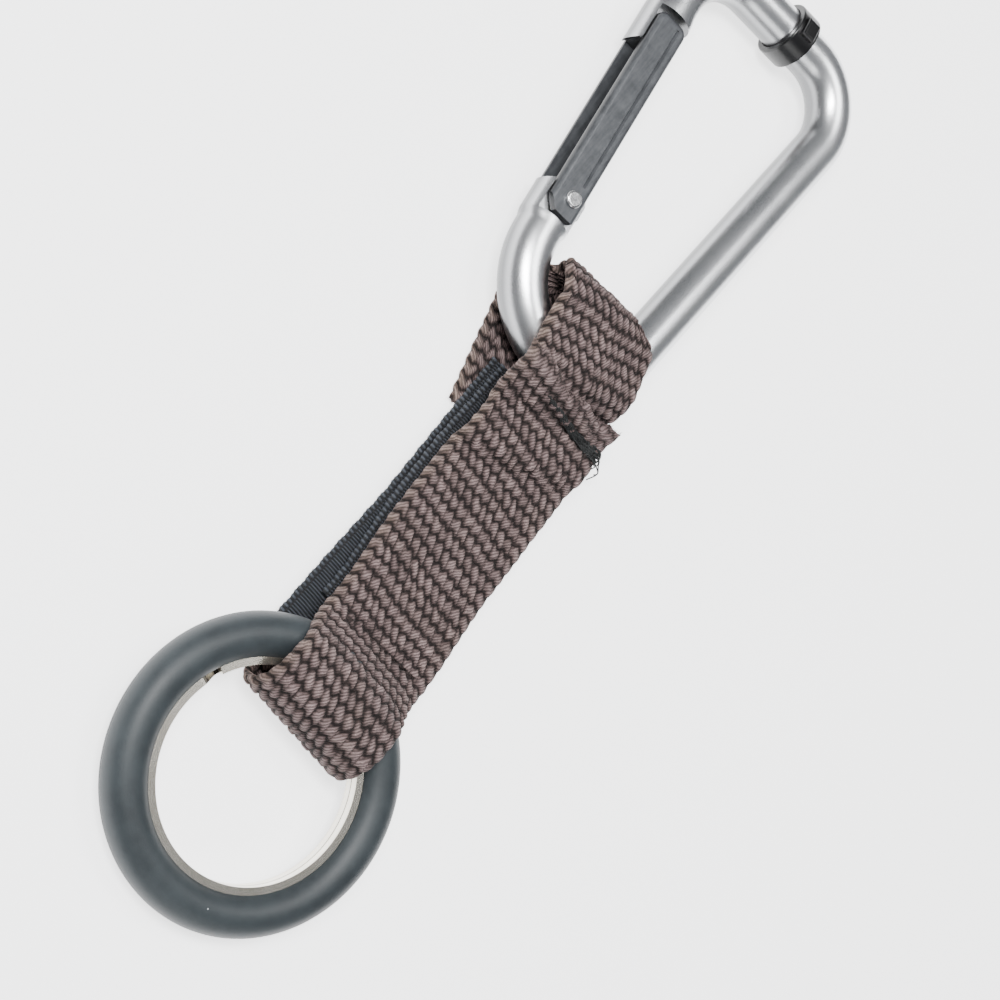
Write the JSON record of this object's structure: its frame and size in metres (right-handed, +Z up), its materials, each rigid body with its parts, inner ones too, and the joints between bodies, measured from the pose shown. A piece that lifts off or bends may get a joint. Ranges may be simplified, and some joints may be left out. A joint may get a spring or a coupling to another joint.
{
  "type": "key organiser",
  "caption": "Webbing key organiser with a spring gate carabiner at one end and a rubber covered split ring at the other, lying flat.",
  "frame": {"origin": "centre of the plan outline, on the surface the organiser lies on", "axes": "+Z up from the surface, +Y along the strap from the split ring to the carabiner, +X to the strap's right"},
  "size_m": [0.0548, 0.1712, 0.0129],
  "materials": {
    "anodised_silver": "fine bead blasted, silver anodised, satin",
    "anodised_black": "black anodised, satin",
    "rivet_steel": "plated steel, lightly polished head",
    "spring_steel": "drawn spring wire",
    "plunger_plastic": "moulded, matt",
    "band_plastic": "smooth moulded, soft gloss",
    "ring_rubber": "moulded, matt with a soft sheen",
    "nickel": "nickel plated, polished",
    "webbing_taupe": "chunky basket weave, matt",
    "tape_black": "ribbed grosgrain, slight sheen",
    "thread_brown": "sewing thread",
    "thread_black": "sewing thread"
  },
  "bodies": {
    "strap": {"main_strap": "webbing_taupe", "carabiner_loop_strap": "webbing_taupe", "backing_tape_lower": "tape_black", "backing_tape_upper": "tape_black", "ring_seam_thread": "thread_brown", "bartack_thread": "thread_black"},
    "carabiner": {"carabiner_frame": "anodised_silver", "gate_rivet": "rivet_steel"},
    "gate": {"carabiner_gate": "anodised_black", "gate_spring": "spring_steel"},
    "plunger": {"spring_plunger": "plunger_plastic"},
    "tag_band": {"tag_band": "band_plastic"},
    "ring_cover": {"rubber_ring_cover": "ring_rubber"},
    "split_ring": {"split_ring": "nickel"}
  },
  "joints": [
    {"name": "carabiner_swing", "type": "hinge", "parent": "strap", "child": "carabiner", "pos_m": [0.00537, 0.01069, 0.00564], "axis": [1, 0, 0], "range_deg": [-60, 60], "deforming": ["carabiner_loop_strap", "main_strap"]},
    {"name": "gate_hinge", "type": "hinge", "parent": "carabiner", "child": "gate", "pos_m": [-0.01639, 0.02812, 0.00542], "axis": [0, -0.0127, -0.9999], "range_deg": [0, 28], "stiffness_Nm_per_rad": 0.06, "springref_deg": -45.84},
    {"name": "plunger_slide", "type": "slide", "parent": "gate", "child": "plunger", "axis": [-0.1633, 0.9865, -0.0126], "range_m": [0, 0.0009], "deforming": ["gate_spring"]},
    {"name": "tag_band_turn", "type": "hinge", "parent": "carabiner", "child": "tag_band", "pos_m": [-0.00563, 0.08062, 0.00475], "axis": [-0.9799, -0.1994, 0.0025], "continuous": true},
    {"name": "ring_swing", "type": "hinge", "parent": "strap", "child": "ring_cover", "pos_m": [0.00537, -0.04491, 0.0059], "axis": [1, 0, 0], "range_deg": [-60, 60], "deforming": ["main_strap", "backing_tape_lower"]},
    {"name": "split_ring_spin", "type": "hinge", "parent": "ring_cover", "child": "split_ring", "pos_m": [0.00537, -0.06366, 0.00455], "axis": [0, -0.0718, 0.9974], "continuous": true}
  ],
  "couplings": [
    {"joint": "plunger_slide", "follows": "gate_hinge", "m_per_rad": 0.0018}
  ]
}
